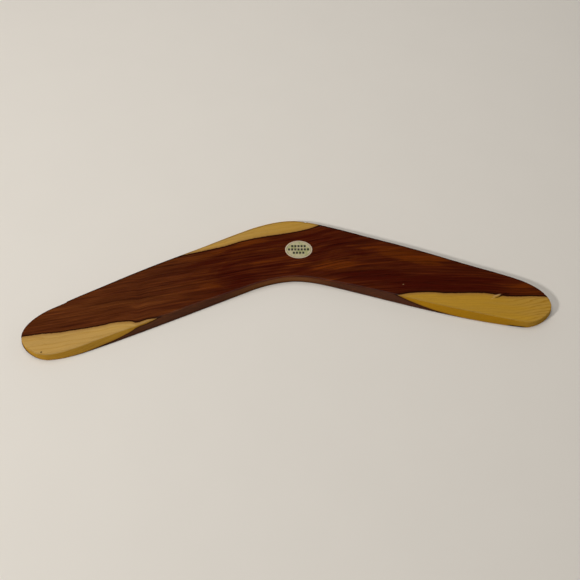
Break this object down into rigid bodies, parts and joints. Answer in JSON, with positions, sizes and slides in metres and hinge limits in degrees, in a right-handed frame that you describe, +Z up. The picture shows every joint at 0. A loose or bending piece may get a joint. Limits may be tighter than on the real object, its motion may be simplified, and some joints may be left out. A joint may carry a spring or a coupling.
{
  "type": "boomerang",
  "caption": "Flat wooden boomerang shaped from a natural elbow of timber, with bevelled edges, rounded tips and a small oval paper label.",
  "frame": {"origin": "middle of the blade's box at its flat underside", "axes": "+X along the span from the left tip to the right tip, +Y towards the crown of the elbow, +Z up out of the bevelled, labelled side"},
  "size_m": [0.397, 0.1106, 0.0062],
  "materials": {
    "lacquered_wood": "dark red-brown heartwood with pale yellow sapwood along the tips and the crown of the elbow, under a clear gloss lacquer",
    "label_glue": "thin cloudy film of dried glue",
    "label_paper": "aged cream paper with a thin printed border and plain printed dashes"
  },
  "bodies": {
    "root": {"wood_blade": "lacquered_wood", "label_adhesive": "label_glue", "paper_label": "label_paper"}
  },
  "joints": []
}
